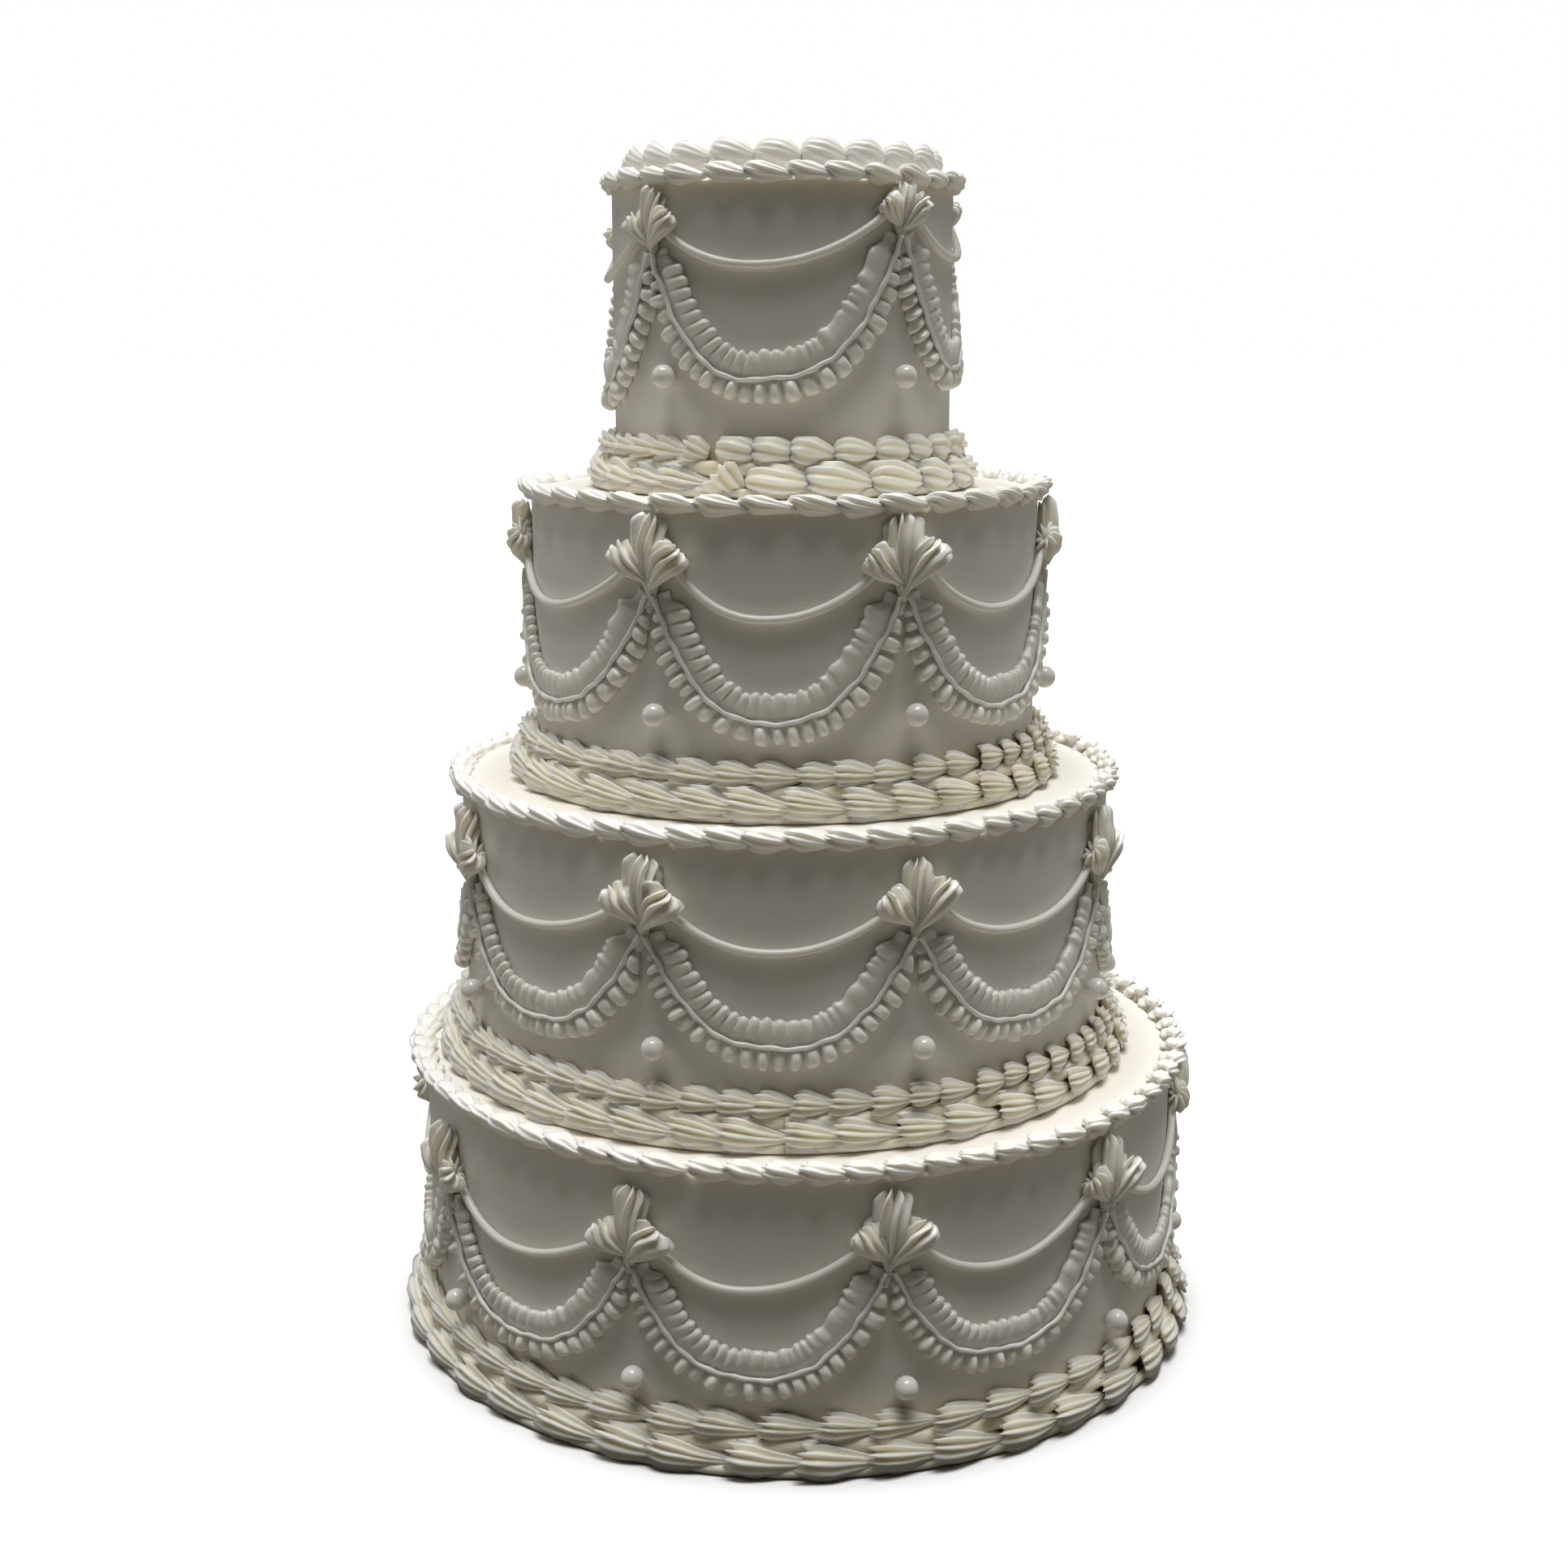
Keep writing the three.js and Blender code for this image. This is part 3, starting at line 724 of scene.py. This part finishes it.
# The number of lobes passed at each place on a festoon whose pitch changes from near to far.
def lobesPassed(even, near, far, shift):
    t = np.linspace(-1, 1, len(even))
    pitch = near + (far - near) * (0.5 + 0.5 * np.tanh((t - festoon["nearUntil"]) * festoon["steepness"]))
    return np.cumsum(even[1] / pitch) + shift


# One festoon's upper ruffle: rounded pleats with sharp folds between them. A pleat is the root of
# the cosine of its phase, which is full in its middle and 0 in its folds.
def upperRuffle(path, normal, even, plump, swell, random, rng):
    place, sheet, lobe = upperSection.T
    passed = lobesPassed(even, pleats["near"], pleats["far"], rng.uniform())[:, None]
    leaning = passed - pleats["lean"] * place
    index = np.floor(leaning + 0.5).astype(int) + 2
    pleat = np.abs(np.cos(math.pi * leaning)) ** pleats["fold"]
    size = (pleats["flat"] + pleats["full"] * plump) * (1 + pleats["change"] * random[0][index])
    frill = np.sin(even / waveLength["frill"] + 3 * np.sin(even / waveLength["frillShift"]))
    frill = (frill * np.sin(even / waveLength["frillFade"] + random[1, 0] * 3))[:, None]
    out = sheet + lobe * (size * (pleat - pleats["level"]) + pleats["outFrill"] * (1 - plump) * frill)
    outer = 8  # the point of the section where the edge's pleats are read
    edge = pleats["edge"] + pleats["edgeWave"] * plump * (pleat[:, outer:outer + 1] - 0.5)
    edge = edge + pleats["edgeChange"] * plump * random[2][index[:, outer:outer + 1]]
    edge = pleats["reach"] * edge + (pleats["frill"] - pleats["fullFrill"] * plump) * frill
    edge = edge * swell
    out = np.where(sheet > 0.5, np.maximum(out, 0.6), sheet) * np.clip(swell, festoon["outLeast"], 1)
    flat = path[:, None] + normal[:, None] * (edge * place)[..., None]
    return np.concatenate([flat, out[..., None]], axis=2)[:, ::-1]


# One festoon's lower ruffle: a thin strip with square-ended teeth. A tooth is one less a power of
# the distance from its middle, and the strip's edge is notched where the teeth end.
def lowerRuffle(path, normal, even, plump, swell, random, rng):
    place, sheet, lobe = lowerSection.T
    passed = lobesPassed(even, teeth["near"], teeth["far"], rng.uniform())[:, None]
    wander = np.sin(even / waveLength["teethPitch"] + rng.uniform(0, 6))[:, None]
    passed = passed + teeth["pitchWander"] * wander
    wander = np.sin(even / waveLength["teethLean"] + rng.uniform(0, 6))[:, None]
    leaning = passed + teeth["leanWander"] * place * wander
    index = np.floor(leaning).astype(int) + 2
    wide = teeth["wide"] + teeth["wideChange"] * random[1][index]
    fromMiddle = np.abs(2 * (leaning - np.floor(leaning)) - 1) / wide
    tooth = np.maximum(1 - fromMiddle ** (teeth["square"] - teeth["fullSquare"] * plump), 0)
    recessed = 1 - teeth["recess"] * plump * (index % 2)
    linked = np.clip(teeth["linked"] + teeth["linkedChange"] * random[2, 0], 0, 1) * (1 - plump)
    size = teeth["out"] - teeth["linkedLess"] * linked + teeth["change"] * random[3][index]
    size = size * tooth * recessed
    out = np.where(sheet > 0.5, sheet + lobe * size, sheet) * np.clip(swell, festoon["outLeast"], 1)
    t = np.linspace(-1, 1, len(even))
    tapered = np.clip((1 - np.abs(t)) * festoon["taper"], festoon["taperLeast"], 1)[:, None]
    notch = (teeth["notch"] - teeth["notchLess"] * linked) * (1 - np.sqrt(tooth))
    edge = teeth["reach"] * (1 - notch) * tapered
    edge = edge * (teeth["edge"] + teeth["edgeChange"] * random[4][index])
    flat = path[:, None] - normal[:, None] * (edge * place)[..., None]
    return np.concatenate([flat, out[..., None]], axis=2)


# The cord between a festoon's ruffles: it waves across its path and swells along it.
def wavyCord(path, slope, normal, even, rng):
    swelling = np.sin(even / waveLength["thickness"] + rng.uniform(0, 6))
    thickness = ruffleCord["thickness"] * (1 + ruffleCord["change"] * swelling)
    shift = 2 * np.sin(even / waveLength["wanderShift"]) + rng.uniform(0, 6)
    wave = ruffleCord["wander"] * np.sin(even / waveLength["wander"] + shift)
    wave = wave + ruffleCord["ripple"] * np.sin(even / waveLength["ripple"])
    out = ruffleCord["out"] + ruffleCord["outWave"] * np.sin(even / waveLength["out"])
    cordPath = path + normal * wave[:, None]
    return cordTube(cordPath[::2], slope[::2], thickness[::2], out[::2])


# All the festoons of a tier. Their lobes are full on the left and flat on the right.
def festoons(tier):
    rng = np.random.default_rng(seeds["festoons"] + tier["number"])
    number, radius = tier["number"], tier["radius"]
    span = 2 * math.pi * radius / len(tier["posts"])
    length = span + festoon["sagLength"] * tier["festoonSag"]
    rows = int(length / pleats["near"] * samples)
    upper, lower, cords = [], [], []
    for start, end in postPairs(tier):
        path, slope, even = drapePath(tier, start, end, tier["festoonSag"], festoonDrape, rows, rng)
        normal = np.stack([-slope[:, 1], slope[:, 0]], axis=1)
        t = np.linspace(-1, 1, rows)
        plump = (0.5 - 0.5 * np.tanh((t - festoon["fullUntil"]) * festoon["steepness"]))[:, None]
        swell = np.clip((1 - np.abs(t)) * festoon["narrowing"], festoon["narrowest"], 1)[:, None]
        random = rng.uniform(-1, 1, (5, 60))
        upper.append(upperRuffle(path, normal, even, plump, swell, random, rng))
        lower.append(lowerRuffle(path, normal, even, plump, swell, random, rng))
        cords.append(wavyCord(path, slope, normal, even, rng))
    for name, tubes in (("upperRuffles", upper), ("lowerRuffles", lower), ("ruffleCords", cords)):
        points = wrap(tier, np.array(tubes), radius)
        makePiece(f"{name}_{number}", points, drapeCream, [f"drape_{number}"])


for tier in tiers:
    fleurPosts(tier)
    ropeDrapes(tier)
    festoons(tier)
print("posts, drapes and festoons made")


pearl = dict(radius=5.0, rows=25, columns=40)


# A ball in the middle of its node's box.
def sugarPearl(name, node):
    low, high = nodeBox(node)
    centre, radius = (low + high) / 2, pearl["radius"]
    polar = np.linspace(0, math.pi, pearl["rows"])[1:-1]
    azimuth = np.linspace(0, 2 * math.pi, pearl["columns"], endpoint=False)
    points = np.stack([
        centre[0] + radius * np.sin(polar)[:, None] * np.cos(azimuth),
        centre[1] + radius * np.sin(polar)[:, None] * np.sin(azimuth),
        np.broadcast_to(centre[2] - radius * np.cos(polar)[:, None], (len(polar), len(azimuth))),
    ], axis=-1)
    makePiece(name, points[None], pearlSugar, [node])


for tier in tiers:
    for node in tier["pearlNames"]:
        sugarPearl(node.replace("pearl", "sugarPearl"), node)
print("pearls made")


# The sun's strength and width in degrees, the side lights' power, and the world's strength as it
# lights the cake and as the camera sees it.
light = dict(overhead=4.1, softness=40, left=3.4, right=2.4, around=0.008, backdrop=1.0)
floorLook = dict(bounce=(0.17, 0.158, 0.135), tone=(0.96, 0.96, 0.96), roughness=0.9, shine=0.1)
# In metres: where the side lights stand, to the left and right, what they point at and their size.
sideLight = dict(across=1.4, back=0.35, up=0.9, target=(0, 0, 0.3), size=(0.8, 1.4))


# The floor looks white, but throws little light back on the cake.
def studioFloor():
    size = 30  # metres from the middle to each edge
    mesh = bpy.data.meshes.new("floor")
    corners = [(-size, -size, 0), (size, -size, 0), (size, size, 0), (-size, size, 0)]
    mesh.from_pydata(corners, [], [(0, 1, 2, 3)])
    floor = bpy.data.objects.new("floor", mesh)
    scene.collection.objects.link(floor)
    material = bpy.data.materials.new("paleFloor")
    material.use_nodes = True
    link = material.node_tree.links.new
    shader = material.node_tree.nodes["Principled BSDF"]
    path = addNode(material, "ShaderNodeLightPath")
    tone = addNode(material, "ShaderNodeMix")
    tone.data_type = "RGBA"
    tone.inputs["A"].default_value = (*floorLook["bounce"], 1)
    tone.inputs["B"].default_value = (*floorLook["tone"], 1)
    link(path.outputs["Is Camera Ray"], tone.inputs["Factor"])
    link(tone.outputs["Result"], shader.inputs["Base Color"])
    shader.inputs["Roughness"].default_value = floorLook["roughness"]
    shader.inputs["Specular IOR Level"].default_value = floorLook["shine"]
    mesh.materials.append(material)


def addLamp(name, kind, power):
    lamp = bpy.data.lights.new(name, kind)
    lamp.energy = power
    holder = bpy.data.objects.new(name, lamp)
    scene.collection.objects.link(holder)
    return lamp, holder


# A soft rectangular light at one side; side is -1 on the left and 1 on the right.
def addSideLight(name, side, power):
    lamp, holder = addLamp(name, "AREA", power)
    lamp.shape = "RECTANGLE"
    lamp.size, lamp.size_y = sideLight["size"]
    place = Vector((side * sideLight["across"], sideLight["back"], sideLight["up"]))
    holder.location = place
    holder.rotation_euler = (Vector(sideLight["target"]) - place).to_track_quat("-Z", "Y").to_euler()


# A soft sun overhead and a weak light at each side, before a white backdrop that hardly lights.
def studioLight():
    world = bpy.data.worlds.new("studio")
    scene.world = world
    world.use_nodes = True
    nodes, link = world.node_tree.nodes, world.node_tree.links.new
    background = nodes["Background"]
    background.inputs["Color"].default_value = (1, 1, 1, 1)
    path = nodes.new("ShaderNodeLightPath")
    strength = nodes.new("ShaderNodeMapRange")
    strength.inputs["To Min"].default_value = light["around"]
    strength.inputs["To Max"].default_value = light["backdrop"]
    link(path.outputs["Is Camera Ray"], strength.inputs["Value"])
    link(strength.outputs["Result"], background.inputs["Strength"])
    overhead, _ = addLamp("overhead", "SUN", light["overhead"])
    overhead.angle = math.radians(light["softness"])
    addSideLight("leftSide", -1, light["left"])
    addSideLight("rightSide", 1, light["right"])


# The camera's place, the degrees that it looks down, and its lens and sensor in millimetres.
view = dict(x=-6.9, y=-939.06, z=455.7, pitch=12.337, lens=46.78, sensor=36)


def frontCamera():
    lens = bpy.data.cameras.new("camera")
    lens.lens = view["lens"]
    lens.sensor_width = view["sensor"]
    holder = bpy.data.objects.new("camera", lens)
    scene.collection.objects.link(holder)
    holder.location = (view["x"] * mm, view["y"] * mm, view["z"] * mm)
    holder.rotation_euler = (math.radians(90 - view["pitch"]), 0, 0)
    scene.camera = holder


scene.view_settings.view_transform = "Standard"
studioFloor()
studioLight()
frontCamera()

print("scene ready")
